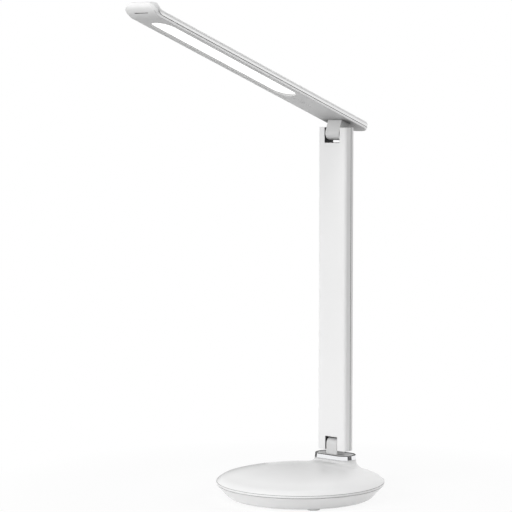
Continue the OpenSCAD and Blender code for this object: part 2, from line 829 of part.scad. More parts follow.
module head_top_cover() {
    line_in = half_w - joint_line;
    color("white") on_head() difference() {
        union() {
            difference() {
                head_sweep() difference() {
                    head_section(bezel_h, head_t);
                    for (s = [0, 1]) mirror([s, 0]) translate([line_in, bezel_h - cut])
                        square([joint_line + cut, cut + joint_line]);
                }
                nose_trim();
                nose_corners();
                head_inside(head_wall, bezel_h - cut, roof_in);
            }
            // bosses for the tongue's screws and the touch board
            translate([0, 0, head_lift + bezel_t + tongue_flange_t + spine_t]) at_tongue_screws()
                cylinder(r = 3.2, h = head_t - 1 - bezel_t - tongue_flange_t - spine_t);
            for (x = [-1, 1], y = [touch_from + 3, touch_to - 3])
                translate([x * (touch_w / 2 - 3), -y, head_lift + touch_board_n + touch_board_t])
                    cylinder(r = 1.8, h = head_t - 1 - touch_board_n - touch_board_t);
        }
        translate([0, 0, head_lift]) at_tongue_screws()
            cylinder(r = screw_r + seat, h = head_t - 0.8);
    }
}

module at_tongue_screws() {
    for (x = [-1, 1], y = [-1, 1])
        translate([x * (tongue_flange_w / 2 - 3.2), y * (tongue_flange_l / 2 - 3.2), 0]) children();
}

module hinge_tongue() {
    color("lightgray") on_head() difference() {
        union() {
            intersection() {
                union() {
                    rotate([0, 90, 0]) cylinder(r = tongue_r, h = tongue_w, center = true);
                    translate([-tongue_w / 2, -tongue_r, 0])
                        cube([tongue_w, 2 * tongue_r, head_lift + bezel_t + 1]);
                }
                // softened lower corners
                translate([0, arm_t, head_lift / 2]) rotate([90, 0, 0]) linear_extrude(2 * arm_t)
                    round_rect(tongue_w, head_lift + 2 * tongue_r + 6, 2);
            }
            translate([-tongue_flange_w / 2, -tongue_flange_l / 2, head_lift + bezel_t])
                cube([tongue_flange_w, tongue_flange_l, tongue_flange_t]);
        }
        rotate([0, 90, 0]) cylinder(r = pin_r + seat, h = tongue_w + 2 * cut, center = true);
        translate([0, tongue_wire_y, 0]) cylinder(r = wire_r, h = head_lift + head_t);
        translate([0, 0, head_lift + bezel_t - cut]) at_tongue_screws() {
            cylinder(r = screw_head_r + fit, h = cut + 1.3);
            cylinder(r = screw_r + fit, h = head_t);
        }
    }
}

module head_hinge_pin() {
    color("silver") on_head() hinge_pin(upper_slot);
}

module head_hinge_nuts() {
    color("lightsteelblue") on_head() hinge_nuts(upper_slot);
}

module head_spine() {
    color("silver") on_head() translate([0, 0, head_lift + bezel_t + tongue_flange_t]) difference() {
        translate([-tongue_flange_w / 2, -spine_front, 0])
            cube([tongue_flange_w, spine_front + tongue_flange_l / 2, spine_t]);
        translate([0, 0, -cut]) at_tongue_screws() cylinder(r = screw_r + fit, h = spine_t + 2 * cut);
        translate([0, tongue_wire_y, -cut]) cylinder(r = wire_r, h = spine_t + 2 * cut);
    }
}

module tongue_screws() {
    color("lightsteelblue") on_head() translate([0, 0, head_lift + bezel_t + 0.1]) at_tongue_screws()
        screw(screw_r, screw_head_r, 1.2, head_t - bezel_t - 2.4);
}

module light_diffuser() {
    color("white") on_head() translate([0, 0, head_lift + bezel_t]) linear_extrude(diffuser_t)
        stadium(window_w + 2 * flange_over, -window_end - flange_over, -window_from + flange_over);
}

module reflector_frame() {
    color("white") on_head() translate([0, 0, head_lift + bezel_t + diffuser_t])
        linear_extrude(led_board_n - bezel_t - diffuser_t) difference() {
            stadium(window_w + 2 * flange_over, -window_end - flange_over, -window_from + flange_over);
            stadium(window_w + 0.6, -window_end - 0.3, -window_from + 0.3);
        }
}

module led_board() {
    color("ivory") on_head()
        translate([-window_w / 2, led_board_end - window_end, head_lift + led_board_n])
            cube([window_w, window_len - 2 * led_board_end, led_board_t]);
}

module led_chips() {
    pitch = (window_len - 2 * chip_end) / (chip_count - 1);
    color("khaki") on_head() for (x = [-chip_row, chip_row], i = [0:chip_count - 1])
        translate([x - chip_w / 2, -window_from - chip_end - i * pitch - chip_l / 2,
                   head_lift + led_board_n - chip_t])
            cube([chip_w, chip_l, chip_t]);
}

module touch_board() {
    color("seagreen") on_head() translate([-touch_w / 2, -touch_to, head_lift + touch_board_n])
        cube([touch_w, touch_to - touch_from, touch_board_t]);
}

module touch_springs() {
    color("silver") on_head() for (y = [touch_from + 6 : 12 : touch_to - 6])
        translate([0, -y, head_lift + bezel_t]) difference() {
            cylinder(r = 3, h = touch_board_n - bezel_t);
            translate([0, 0, -cut]) cylinder(r = 2.4, h = touch_board_n);
        }
}

base_bowl();
base_top_cover();
ballast_plate();
rubber_feet();
base_screws();
driver_board();
driver_components();
power_inlet();
inlet_tongue();
boss_stiffener();
hinge_post();
post_screws();
collar_ring();
collar_plate();
base_hinge_pin();
base_hinge_nuts();
arm_front_shell();
arm_back_cover();
arm_lower_bracket();
arm_upper_bracket();
lower_spring_washers();
upper_spring_washers();
bracket_screws();
arm_cable();
hinge_tongue();
head_hinge_pin();
head_hinge_nuts();
head_spine();
tongue_screws();
head_bezel();
head_top_cover();
light_diffuser();
reflector_frame();
led_board();
led_chips();
touch_board();
touch_springs();
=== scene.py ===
# Folding LED desk lamp: finishes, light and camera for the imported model
import math

import bmesh
import bpy
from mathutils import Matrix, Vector


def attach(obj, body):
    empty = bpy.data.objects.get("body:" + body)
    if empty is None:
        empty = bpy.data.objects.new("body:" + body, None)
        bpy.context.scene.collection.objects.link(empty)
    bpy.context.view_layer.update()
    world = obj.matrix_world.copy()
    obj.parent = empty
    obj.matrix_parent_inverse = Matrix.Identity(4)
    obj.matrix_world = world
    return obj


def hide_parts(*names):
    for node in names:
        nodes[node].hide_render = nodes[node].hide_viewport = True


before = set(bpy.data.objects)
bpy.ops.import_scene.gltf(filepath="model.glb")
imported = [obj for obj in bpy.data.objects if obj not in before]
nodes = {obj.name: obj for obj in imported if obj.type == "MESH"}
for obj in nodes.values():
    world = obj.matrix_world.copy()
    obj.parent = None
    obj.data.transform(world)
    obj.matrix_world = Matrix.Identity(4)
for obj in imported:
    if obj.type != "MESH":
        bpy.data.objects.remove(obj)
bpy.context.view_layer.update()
scene = bpy.context.scene
mm = 0.001
print("lamp: model loaded,", len(nodes), "nodes")


def newObject(name, data):
    thing = bpy.data.objects.new(name, data)
    scene.collection.objects.link(thing)
    return thing


# camera

cameraSetup = {
    "place": (1.3968, -1.6350, 0.42213),
    "tilt": 85.28,  # degrees from straight down
    "turn": 41.7,
    "lens": 151.3,
    "sensor": 36,
    "clip": (0.05, 60),
}


def makeCamera(setup):
    data = bpy.data.cameras.new("lampCamera")
    data.lens = setup["lens"]
    data.sensor_width = setup["sensor"]
    data.clip_start, data.clip_end = setup["clip"]
    camera = newObject("lampCamera", data)
    camera.location = setup["place"]
    camera.rotation_euler = (math.radians(setup["tilt"]), 0, math.radians(setup["turn"]))
    scene.camera = camera


makeCamera(cameraSetup)
print("lamp: camera placed")


# node tree helpers

def addNode(tree, kind, place=(0, 0), **settings):
    node = tree.nodes.new(kind)
    node.location = (place[0] * 200, place[1] * 200)
    for key, value in settings.items():
        setattr(node, key, value)
    return node


def setInputs(tree, node, values):
    # each value is a constant, or another node's socket to link from
    for key, value in values.items():
        if isinstance(value, bpy.types.NodeSocket):
            tree.links.new(value, node.inputs[key])
        else:
            node.inputs[key].default_value = value


def newGroup(name, inputs, outputs):
    group = bpy.data.node_groups.new(name, "ShaderNodeTree")
    for label, kind, start in inputs:
        socket = group.interface.new_socket(name=label, in_out="INPUT", socket_type=kind)
        socket.default_value = start
    for label, kind in outputs:
        group.interface.new_socket(name=label, in_out="OUTPUT", socket_type=kind)
    return group, addNode(group, "NodeGroupInput", (-8, 0)), addNode(group, "NodeGroupOutput", (3, 0))


def mixNode(tree, place, factor, first, second, blend="MIX"):
    node = addNode(tree, "ShaderNodeMix", place, data_type="RGBA", blend_type=blend)
    setInputs(tree, node, {0: factor, 6: first, 7: second})
    return node.outputs[2]


def mathNode(tree, place, operation, first, second=None):
    node = addNode(tree, "ShaderNodeMath", place, operation=operation)
    setInputs(tree, node, {0: first} if second is None else {0: first, 1: second})
    return node.outputs[0]


def vectorNode(tree, place, operation, first, second=(0, 0, 0)):
    node = addNode(tree, "ShaderNodeVectorMath", place, operation=operation)
    setInputs(tree, node, {0: first, 1: second})
    return node.outputs["Value" if operation in ("LENGTH", "DOT_PRODUCT") else "Vector"]


def rangeNode(tree, place, source, low, high, toLow, toHigh):
    node = addNode(tree, "ShaderNodeMapRange", place)
    setInputs(tree, node, dict(enumerate((source, low, high, toLow, toHigh))))
    return node.outputs[0]


def objectPlace(tree, place):
    return addNode(tree, "ShaderNodeTexCoord", place).outputs["Object"]


def noiseNode(tree, place, where, scale, detail, rough=0.5, warp=0.0):
    node = addNode(tree, "ShaderNodeTexNoise", place)
    setInputs(tree, node, {"Vector": where, "Scale": scale, "Detail": detail, "Roughness": rough,
                           "Distortion": warp})
    return node.outputs[0]


def addBump(tree, shader, height, depth):
    bump = addNode(tree, "ShaderNodeBump", (2, -2))
    setInputs(tree, bump, {"Strength": 1.0, "Distance": depth * mm, "Height": height})
    tree.links.new(bump.outputs[0], shader.inputs["Normal"])


floatKind, colourKind = "NodeSocketFloat", "NodeSocketColor"


# shared surface effects

def makeMouldedGrain():
    # soft tone shift, fine moulded texture and faint handling marks
    group, start, end = newGroup(
        "mouldedGrain",
        [("Base Color", colourKind, (0.8, 0.8, 0.8, 1)), ("Tone Shift", floatKind, 0.03),
         ("Grain Size", floatKind, 1600), ("Roughness", floatKind, 0.35),
         ("Roughness Spread", floatKind, 0.08)],
        [("Color", colourKind), ("Roughness", floatKind), ("Height", floatKind)])
    where = objectPlace(group, (-6, 0))
    broad = noiseNode(group, (-5, 2), where, 14, 3)
    patches = noiseNode(group, (-5, 0), where, 60, 6, 0.62, 0.6)
    grain = noiseNode(group, (-5, -2), where, start.outputs["Grain Size"], 3, 0.6)
    ripple = noiseNode(group, (-5, -4), where, 120, 1)
    # colour: a little darker in broad soft clouds, with fine flecks
    darker = mathNode(group, (-4, 3), "SUBTRACT", 1.0, start.outputs["Tone Shift"])
    tone = rangeNode(group, (-3, 2), broad, 0.3, 0.7, darker, 1.0)
    fleck = rangeNode(group, (-3, 1), grain, 0.25, 0.75, 0.985, 1.01)
    both = mathNode(group, (-2, 2), "MULTIPLY", tone, fleck)
    colour = mixNode(group, (-1, 2), 1, start.outputs["Base Color"], both, "MULTIPLY")
    # roughness: handling marks in patches
    spread = rangeNode(group, (-3, 0), patches, 0.35, 0.7, -0.5, 0.5)
    scaled = mathNode(group, (-2, 0), "MULTIPLY", spread, start.outputs["Roughness Spread"])
    rough = mathNode(group, (-1, 0), "ADD", scaled, start.outputs["Roughness"])
    # height: moulded grain on a slow ripple
    slow = mathNode(group, (-3, -3), "MULTIPLY", ripple, 0.6)
    height = mathNode(group, (-2, -2), "ADD", grain, slow)
    setInputs(group, end, {"Color": colour, "Roughness": rough, "Height": height})
    return group


def makeWearDustAndShade():
    # lays dust and painted shade in corners and grooves, and wears the outer edges lighter
    group, start, end = newGroup(
        "wearDustAndShade",
        [("Base Color", colourKind, (0.8, 0.8, 0.8, 1)), ("Dust And Shade Color", colourKind, (0.5, 0.5, 0.5, 1)),
         ("Edge Color", colourKind, (0.9, 0.9, 0.9, 1)), ("Dust And Shade", floatKind, 0.5),
         ("Edge", floatKind, 0.3)],
        [("Color", colourKind), ("Dust And Shade Mask", floatKind)])
    # painted shade together with dust: corners and grooves darken where shade falls
    corner = addNode(group, "ShaderNodeAmbientOcclusion", (-5, 1), samples=8)
    setInputs(group, corner, {"Distance": 0.0012})
    broken = noiseNode(group, (-5, -1), objectPlace(group, (-6, -1)), 900, 4, 0.7)
    deep = rangeNode(group, (-4, 1), corner.outputs["AO"], 0.85, 0.45, 0.0, 1.0)
    patchy = rangeNode(group, (-4, -1), broken, 0.3, 0.65, 0.55, 1.0)
    dustAndShade = mathNode(group, (-3, 1), "MULTIPLY", deep, patchy)
    dustAndShadeMask = mathNode(group, (-2, 1), "MULTIPLY", dustAndShade, start.outputs["Dust And Shade"])
    rounded = addNode(group, "ShaderNodeBevel", (-5, -3), samples=6)
    setInputs(group, rounded, {"Radius": 0.0007})
    flat = addNode(group, "ShaderNodeNewGeometry", (-5, -4))
    turn = vectorNode(group, (-4, -3), "DOT_PRODUCT", rounded.outputs[0], flat.outputs["Normal"])
    sharp = rangeNode(group, (-3, -3), turn, 0.96, 0.8, 0.0, 1.0)
    outer = rangeNode(group, (-3, -4), corner.outputs["AO"], 0.55, 0.8, 0.0, 1.0)
    worn = mathNode(group, (-2, -3), "MULTIPLY", sharp, outer)
    wornPatchy = mathNode(group, (-2, -2), "MULTIPLY", worn, patchy)
    edgeMask = mathNode(group, (-1, -2), "MULTIPLY", wornPatchy, start.outputs["Edge"])
    dustedAndShaded = mixNode(group, (-1, 2), dustAndShadeMask, start.outputs["Base Color"], start.outputs["Dust And Shade Color"])
    finished = mixNode(group, (0, 2), edgeMask, dustedAndShaded, start.outputs["Edge Color"])
    setInputs(group, end, {"Color": finished, "Dust And Shade Mask": dustAndShadeMask})
    return group


def makePaintedNearShade():
    # painted shade: dulls a colour a little where other parts stand close
    group, start, end = newGroup(
        "paintedNearShade",
        [("Base Color", colourKind, (0.8, 0.8, 0.8, 1)), ("Reach", floatKind, 0.02),
         ("Depth", floatKind, 0.2)],
        [("Color", colourKind)])
    near = addNode(group, "ShaderNodeAmbientOcclusion", (-3, 0), samples=10)
    setInputs(group, near, {"Distance": start.outputs["Reach"]})
    closed = rangeNode(group, (-2, 0), near.outputs["AO"], 0.95, 0.45, 0.0, 1.0)
    amount = mathNode(group, (-1, 0), "MULTIPLY", closed, start.outputs["Depth"])
    kept = mathNode(group, (0, 0), "SUBTRACT", 1.0, amount)
    shaded = mixNode(group, (1, 0), 1, start.outputs["Base Color"], kept, "MULTIPLY")
    setInputs(group, end, {"Color": shaded})
    return group


mouldedGrain = makeMouldedGrain()
wearDustAndShade = makeWearDustAndShade()
paintedNearShade = makePaintedNearShade()
print("lamp: shared effects built")


# finishes

finishes = {  # bump in mm; paintedShade is the reach in m and the depth of a painted shade near other parts
    "glossWhite": {"colour": 0.95, "rough": 0.26, "spread": 0.012, "tone": 0.02, "grain": 2200,
                   "bump": 0.006, "coat": 0.05, "dustAndShade": 1.0, "edge": 0.1, "shine": 0.3,
                   "paintedShade": (0.035, 0.3)},
    "satinWhite": {"colour": 0.88, "rough": 0.42, "spread": 0.08, "tone": 0.025, "grain": 1900,
                   "bump": 0.03, "dustAndShade": 0.9, "edge": 0.3},
    "bowlWhite": {"colour": 0.82, "rough": 0.24, "spread": 0.07, "tone": 0.03, "grain": 1900,
                  "bump": 0.02, "coat": 0.2, "dustAndShade": 0.8, "edge": 0.3},
    "bezelWhite": {"colour": 0.84, "rough": 0.46, "spread": 0.08, "tone": 0.025, "grain": 1900,
                   "bump": 0.025, "dustAndShade": 0.9, "edge": 0.3, "shine": 0.3, "paintedShade": (0.06, 0.8)},
    "coverWhite": {"colour": 0.83, "rough": 0.3, "spread": 0.012, "tone": 0.02, "grain": 2200,
                   "bump": 0.003, "coat": 0.1, "dustAndShade": 1.0, "edge": 0.2},
    # painted shade: near black for insides and gaps that stand in shade
    "paintedShadeDark": {"colour": 0.05, "rough": 0.6, "spread": 0.1, "tone": 0.1, "grain": 1500,
                   "bump": 0.05, "dustAndShade": 0.2, "edge": 0.0},
    "postGrey": {"colour": 0.7, "rough": 0.38, "spread": 0.1, "tone": 0.04, "grain": 1500,
                 "bump": 0.04, "dustAndShade": 0.5, "edge": 0.4},
    "plateGrey": {"colour": 0.8, "rough": 0.35, "spread": 0.1, "tone": 0.05, "grain": 1700,
                  "bump": 0.04, "dustAndShade": 0.9, "edge": 0.3, "paintedShade": (0.006, 0.5)},
    "paleRubber": {"colour": 0.72, "rough": 0.75, "spread": 0.1, "tone": 0.08, "grain": 1300,
                   "bump": 0.08, "dustAndShade": 0.6, "edge": 0.2},
    "darkPart": {"colour": 0.03, "rough": 0.4, "spread": 0.12, "tone": 0.15, "grain": 1400,
                 "bump": 0.05, "dustAndShade": 0.5, "edge": 0.3},
    "ribbonWhite": {"colour": 0.76, "rough": 0.5, "spread": 0.1, "tone": 0.06, "grain": 1200,
                    "bump": 0.05, "dustAndShade": 0.4, "edge": 0.2},
    # painted shade for the window's recess wall and rim
    "paintedRecessShade": {"colour": 0.58, "rough": 0.5, "spread": 0.1, "tone": 0.05, "grain": 1800,
                   "bump": 0.03, "dustAndShade": 0.3, "edge": 0.0},
    "markGrey": {"colour": 0.55, "rough": 0.55, "spread": 0.1, "tone": 0.08, "grain": 2400,
                 "bump": 0.02, "dustAndShade": 0.2, "edge": 0.0},
}

wearAndShadeLook = {
    "dustAndShadeTone": 0.3,   # dust with painted shade, and worn edges, as shares of the finish's own colour
    "dustAndShadeWarm": 0.01,
    "edgeTone": 1.12,
    "edgeMost": 0.92,
    "dustRough": 0.25,  # roughness that dust adds
    "coatRough": 0.08,
}


def grey(value, warm=0.0):
    return (value * (1 + warm), value, value * (1 - warm), 1)


def newMaterial(name):
    material = bpy.data.materials.new(name)
    material.use_nodes = True
    tree = material.node_tree
    tree.nodes.clear()
    shader = addNode(tree, "ShaderNodeBsdfPrincipled", (4, 0))
    output = addNode(tree, "ShaderNodeOutputMaterial", (6, 0))
    tree.links.new(shader.outputs[0], output.inputs[0])
    return material, tree, shader


def mouldedFinish(name, look):
    material, tree, shader = newMaterial(name)
    surface = addNode(tree, "ShaderNodeGroup", (-2, 0), node_tree=mouldedGrain, name="surface")
    setInputs(tree, surface, {"Base Color": grey(look["colour"]), "Tone Shift": look["tone"],
                              "Grain Size": look["grain"], "Roughness": look["rough"],
                              "Roughness Spread": look["spread"]})
    wearAndShade = addNode(tree, "ShaderNodeGroup", (0, 1), node_tree=wearDustAndShade, name="wearAndShade")
    worn = min(look["colour"] * wearAndShadeLook["edgeTone"], wearAndShadeLook["edgeMost"])
    setInputs(tree, wearAndShade, {"Base Color": surface.outputs["Color"], "Edge Color": grey(worn),
                           "Dust And Shade Color": grey(look["colour"] * wearAndShadeLook["dustAndShadeTone"], wearAndShadeLook["dustAndShadeWarm"]),
                           "Dust And Shade": look["dustAndShade"], "Edge": look["edge"]})
    colour = wearAndShade.outputs["Color"]
    # painted shade, darker where other parts stand close
    if "paintedShade" in look:
        paintedShade = addNode(tree, "ShaderNodeGroup", (2, 1), node_tree=paintedNearShade)
        reach, depth = look["paintedShade"]
        setInputs(tree, paintedShade, {"Base Color": colour, "Reach": reach, "Depth": depth})
        colour = paintedShade.outputs["Color"]
    dusty = mathNode(tree, (2, -1), "MULTIPLY", wearAndShade.outputs["Dust And Shade Mask"], wearAndShadeLook["dustRough"])
    rough = mathNode(tree, (3, -1), "ADD", surface.outputs["Roughness"], dusty)
    setInputs(tree, shader, {"Base Color": colour, "Roughness": rough, "Coat Weight": look.get("coat", 0.0),
                             "Coat Roughness": wearAndShadeLook["coatRough"],
                             "Specular IOR Level": look.get("shine", 0.5)})
    addBump(tree, shader, surface.outputs["Height"], look["bump"])
    return material


materials = {name: mouldedFinish(name, look) for name, look in finishes.items()}

domeShadeLook = {"inside": 0.7, "from": 0.008, "full": 0.066}  # painted shade's tone at the middle, and distances from the middle in m


def paintDomeShade(material, look):
    # painted shade: the crown of the base is darker than its shoulder, which keeps its full colour
    tree = material.node_tree
    flat = vectorNode(tree, (-7, 2), "MULTIPLY", objectPlace(tree, (-8, 2)), (1, 1, 0))
    away = vectorNode(tree, (-6, 2), "LENGTH", flat)
    tone = rangeNode(tree, (-5, 2), away, look["from"], look["full"], look["inside"], 1.0)
    surface = tree.nodes["surface"]
    colour = tuple(surface.inputs["Base Color"].default_value)
    setInputs(tree, surface, {"Base Color": mixNode(tree, (-4, 2), 1, colour, tone, "MULTIPLY")})


paintDomeShade(materials["glossWhite"], domeShadeLook)

headFrame = {
    "behind": 55.6, "pin": 366.5,  # the head's pin, in mm
    "tilt": 19.64,
    "lift": 11.9,  # from the pin up to the head's underside
    "window": (27.4, 79.3, 283.3),  # width, and where it starts and ends ahead of the pin
    "recess": 1.4,
    "recessWall": (-0.6, 0.28),  # how far in and out of the window's edge its wall is looked for
    "noseStart": (292, 298),  # where the painted glow in the nose begins and is full, ahead of the pin
}

# strength of the painted glow, how far a face has to turn sideways, where the glowing strip begins and ends
# above the head's underside, and the share of the painted glow on the nose
coverPaintedGlow = {"strength": 0.33, "side": (0.6, 0.95), "low": (2.75, 2.9), "high": (4.4, 5.4), "nose": 0.1}
bezelPaintedGlow = {"strength": 0.24, "side": (0.35, 0.8), "low": (0.2, 0.5), "high": (2.15, 2.25), "nose": 0.4}


def paintSideGlow(material, look):
    # painted light: a glow on the thin sides and on the nose, where no lamp shines through
    tree = material.node_tree
    turn = math.radians(headFrame["tilt"])
    where = objectPlace(tree, (-7, -4))

    def along(place, axis, start):
        # distance in mm from the pin along one of the head's own axes
        column, row = place
        scaled = mathNode(tree, (column + 1, row), "MULTIPLY",
                          vectorNode(tree, place, "DOT_PRODUCT", where, axis), 1 / mm)
        return mathNode(tree, (column + 2, row), "SUBTRACT", scaled, start)

    back, rise = headFrame["behind"], headFrame["pin"]
    up = along((-6, -4), (0, math.sin(turn), math.cos(turn)),
               back * math.sin(turn) + rise * math.cos(turn) + headFrame["lift"])
    ahead = along((-6, -6), (0, -math.cos(turn), math.sin(turn)),
                  -back * math.cos(turn) + rise * math.sin(turn))
    facing = addNode(tree, "ShaderNodeNewGeometry", (-6, -8))
    split = addNode(tree, "ShaderNodeSeparateXYZ", (-5, -8))
    tree.links.new(facing.outputs["True Normal"], split.inputs[0])
    side = mathNode(tree, (-4, -8), "ABSOLUTE", split.outputs["X"])
    sideways = rangeNode(tree, (-3, -8), side, *look["side"], 0.0, 1.0)
    strip = mathNode(tree, (-2, -4), "MULTIPLY", rangeNode(tree, (-3, -4), up, *look["low"], 0.0, 1.0),
                     rangeNode(tree, (-3, -5), up, *look["high"], 1.0, 0.0))
    nose = rangeNode(tree, (-3, -6), ahead, *headFrame["noseStart"], 0.0, look["nose"])
    lit = mathNode(tree, (-2, -5), "MAXIMUM", strip, nose)
    clear = mathNode(tree, (0, -6), "SUBTRACT", 1.0, tree.nodes["wearAndShade"].outputs["Dust And Shade Mask"])
    mask = mathNode(tree, (1, -5), "MULTIPLY", mathNode(tree, (-1, -5), "MULTIPLY", lit, sideways), clear)
    glow = mixNode(tree, (2, -5), mask, (0, 0, 0, 1), (1, 1, 1, 1))
    setInputs(tree, tree.nodes["Principled BSDF"],
              {"Emission Color": glow, "Emission Strength": look["strength"]})


paintSideGlow(materials["coverWhite"], coverPaintedGlow)
paintSideGlow(materials["bezelWhite"], bezelPaintedGlow)


def metalFinish(name, colour, rough, spread, scratch, bump):
    # plated or plain metal with fine drawn lines and a broken roughness
    material, tree, shader = newMaterial(name)
    where = objectPlace(tree, (-4, 0))
    drawn = addNode(tree, "ShaderNodeMapping", (-3, 1))
    setInputs(tree, drawn, {"Vector": where, "Scale": scratch})
    lines = noiseNode(tree, (-2, 1), drawn.outputs[0], 40, 5, 0.7)
    spots = noiseNode(tree, (-2, -1), where, 240, 4, 0.6)
    tone = rangeNode(tree, (-1, 1), lines, 0.3, 0.7, 0.94, 1.03)
    broken = rangeNode(tree, (0, 0), spots, 0.35, 0.7, rough - spread / 2, rough + spread / 2)
    setInputs(tree, shader, {"Base Color": mixNode(tree, (1, 1), 1, colour, tone, "MULTIPLY"),
                             "Roughness": broken, "Metallic": 1})
    addBump(tree, shader, lines, bump)
    return material


metals = {  # colour, roughness and its spread, stretch of the drawn lines, their depth in mm
    "brightPlating": ((0.88, 0.885, 0.9, 1), 0.07, 0.05, (2, 2, 30), 0.002),
    "plainSteel": ((0.62, 0.63, 0.65, 1), 0.32, 0.14, (1, 1, 14), 0.01),
    "castWeight": ((0.2, 0.2, 0.21, 1), 0.6, 0.2, (6, 6, 6), 0.12),
}
for name, look in metals.items():
    materials[name] = metalFinish(name, *look)


def circuitFinish(name, mask, track):
    # solder mask with faint tracks under it
    material, tree, shader = newMaterial(name)
    where = objectPlace(tree, (-5, 0))
    tracks = addNode(tree, "ShaderNodeTexVoronoi", (-3, 1), feature="DISTANCE_TO_EDGE", distance="CHEBYCHEV")
    setInputs(tree, tracks, {"Vector": where, "Scale": 260})
    edge = rangeNode(tree, (-2, 1), tracks.outputs[0], 0.08, 0.12, 1.0, 0.0)
    cloud = noiseNode(tree, (-3, -1), where, 320, 4)
    setInputs(tree, shader, {"Base Color": mixNode(tree, (-1, 1), edge, mask, track),
                             "Roughness": rangeNode(tree, (-1, -1), cloud, 0.3, 0.7, 0.25, 0.42)})
    addBump(tree, shader, edge, 0.03)
    return material


materials["greenBoard"] = circuitFinish("greenBoard", (0.02, 0.14, 0.06, 1), (0.05, 0.24, 0.1, 1))
materials["whiteBoard"] = circuitFinish("whiteBoard", (0.8, 0.8, 0.77, 1), (0.7, 0.7, 0.66, 1))


def glowingFinish(name, colour, glow, strength):
    # lit plastic with a soft mottle and a fine frost
    material, tree, shader = newMaterial(name)
    where = objectPlace(tree, (-4, 0))
    mottle = noiseNode(tree, (-3, 1), where, 90, 4, 0.55)
    frost = noiseNode(tree, (-3, -1), where, 2600, 2)
    for socket, tint, low in (("Base Color", colour, 0.97), ("Emission Color", glow, 0.95)):
        tone = rangeNode(tree, (-1, 1), mottle, 0.3, 0.7, low, 1.0)
        setInputs(tree, shader, {socket: mixNode(tree, (0, 1), 1, tint, tone, "MULTIPLY")})
    setInputs(tree, shader, {"Roughness": rangeNode(tree, (-1, -1), frost, 0.3, 0.7, 0.4, 0.55),
                             "Emission Strength": strength})
    addBump(tree, shader, frost, 0.02)
    return material


materials["litOpal"] = glowingFinish("litOpal", (0.9, 0.9, 0.9, 1), (1, 1, 0.99, 1), 0.9)
materials["chipYellow"] = glowingFinish("chipYellow", (0.85, 0.72, 0.2, 1), (1, 0.95, 0.8, 1), 0.2)

nodeFinish = {
    "base_bowl": "satinWhite", "base_top_cover": "glossWhite", "rubber_feet": "paleRubber",
    "hinge_post": "postGrey", "hinge_tongue": "postGrey", "collar_ring": "brightPlating",
    "collar_plate": "plateGrey", "arm_front_shell": "satinWhite", "arm_back_cover": "satinWhite",
    "head_bezel": "bezelWhite", "head_top_cover": "glossWhite", "light_diffuser": "litOpal",
    "reflector_frame": "satinWhite", "ballast_plate": "castWeight", "driver_board": "greenBoard",
    "touch_board": "greenBoard", "led_board": "whiteBoard", "led_chips": "chipYellow",
    "driver_components": "darkPart", "inlet_tongue": "darkPart", "arm_cable": "ribbonWhite",
}
for name, piece in nodes.items():
    piece.data.materials.clear()
    piece.data.materials.append(materials[nodeFinish.get(name, "plainSteel")])
print("lamp: finishes laid on", len(nodes), "nodes")


# mesh helpers


def roundOutline(width, depth, corner, perCorner, perSide):
    # closed outline of a rectangle with round corners: points with their outward normals
    corners = ((1, -1), (1, 1), (-1, 1), (-1, -1))
    points = []
    for at, (sideX, sideY) in enumerate(corners):
        middle = Vector((sideX * (width / 2 - corner), sideY * (depth / 2 - corner)))
        for step in range(perCorner + 1):
            turn = math.radians(90 * (at - 1) + 90 * step / perCorner)
            out = Vector((math.cos(turn), math.sin(turn)))
            points.append((middle + corner * out, out))
        nextX, nextY = corners[(at + 1) % 4]
        goal = Vector((nextX * (width / 2 - corner), nextY * (depth / 2 - corner))) + corner * out
        begin = points[-1][0]
        for step in range(1, perSide):
            points.append((begin.lerp(goal, step / perSide), out))
    return points


def outsideBy(face, plan, behind):
    # how far in mm a face lies outside an upright box with round corners
    wide, deep, corner = plan
    overX = abs(face.center.x / mm) - wide / 2 + corner
    overY = abs(face.center.y / mm - behind) - deep / 2 + corner
    return math.hypot(max(overX, 0), max(overY, 0)) + min(max(overX, overY), 0) - corner


def loft(mesh, rings, loop=False):
    # skin over closed rings of equal count, with a flat cap at each open end
    rows = [[mesh.verts.new(point) for point in ring] for ring in rings]
    pairs = list(zip(rows, rows[1:])) + ([(rows[-1], rows[0])] if loop else [])
    for first, second in pairs:
        for at in range(len(first)):
            after = (at + 1) % len(first)
            mesh.faces.new((first[at], first[after], second[after], second[at]))
    if not loop:
        mesh.faces.new(rows[0][::-1])
        mesh.faces.new(rows[-1])


def arcSteps(count, begin=0.0, end=90.0):
    return [math.radians(begin + (end - begin) * step / count) for step in range(count + 1)]


def flatRing(spots, level, behind=0.0):
    return [(spot.x * mm, (spot.y + behind) * mm, level * mm) for spot in spots]


def turnedRings(profile, turns, middle=(0, 0)):
    # rings round an upright axis, from pairs of distance and height
    return [[((middle[0] + away * math.cos(turn)) * mm, (middle[1] + away * math.sin(turn)) * mm, level * mm)
             for turn in turns] for away, level in profile]


def meshData(name, mesh, outward=True):
    # outward turns every face to the outside first
    if outward:
        bmesh.ops.recalc_face_normals(mesh, faces=mesh.faces)
    data = bpy.data.meshes.new(name)
    mesh.to_mesh(data)
    mesh.free()
    return data


def placePiece(name, data, finish, body, node, sharp=38, paint=None):
    # a finished mesh that rides on a body and stands for a node, or for none; paint gives a face's finish
    if sharp:
        data.shade_smooth()
        data.set_sharp_from_angle(angle=math.radians(sharp))
    data.materials.clear()
    for one in finish:
        data.materials.append(materials[one])
    if paint:
        for face in data.polygons:
            face.material_index = paint(face)
    piece = newObject(name, data)
    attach(piece, body)
    if node:
        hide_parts(node)


def meshPiece(name, mesh, finish, body, node, sharp=38, paint=None):
    placePiece(name, meshData(name, mesh), finish, body, node, sharp, paint)


softening = {
    "weld": 2e-6,       # points closer than this in m become one
    "flat": 0.6,        # faces within this many degrees become one
    "sharp": 32,        # edges over this many degrees are rounded
    "faceWeight": 90,
}


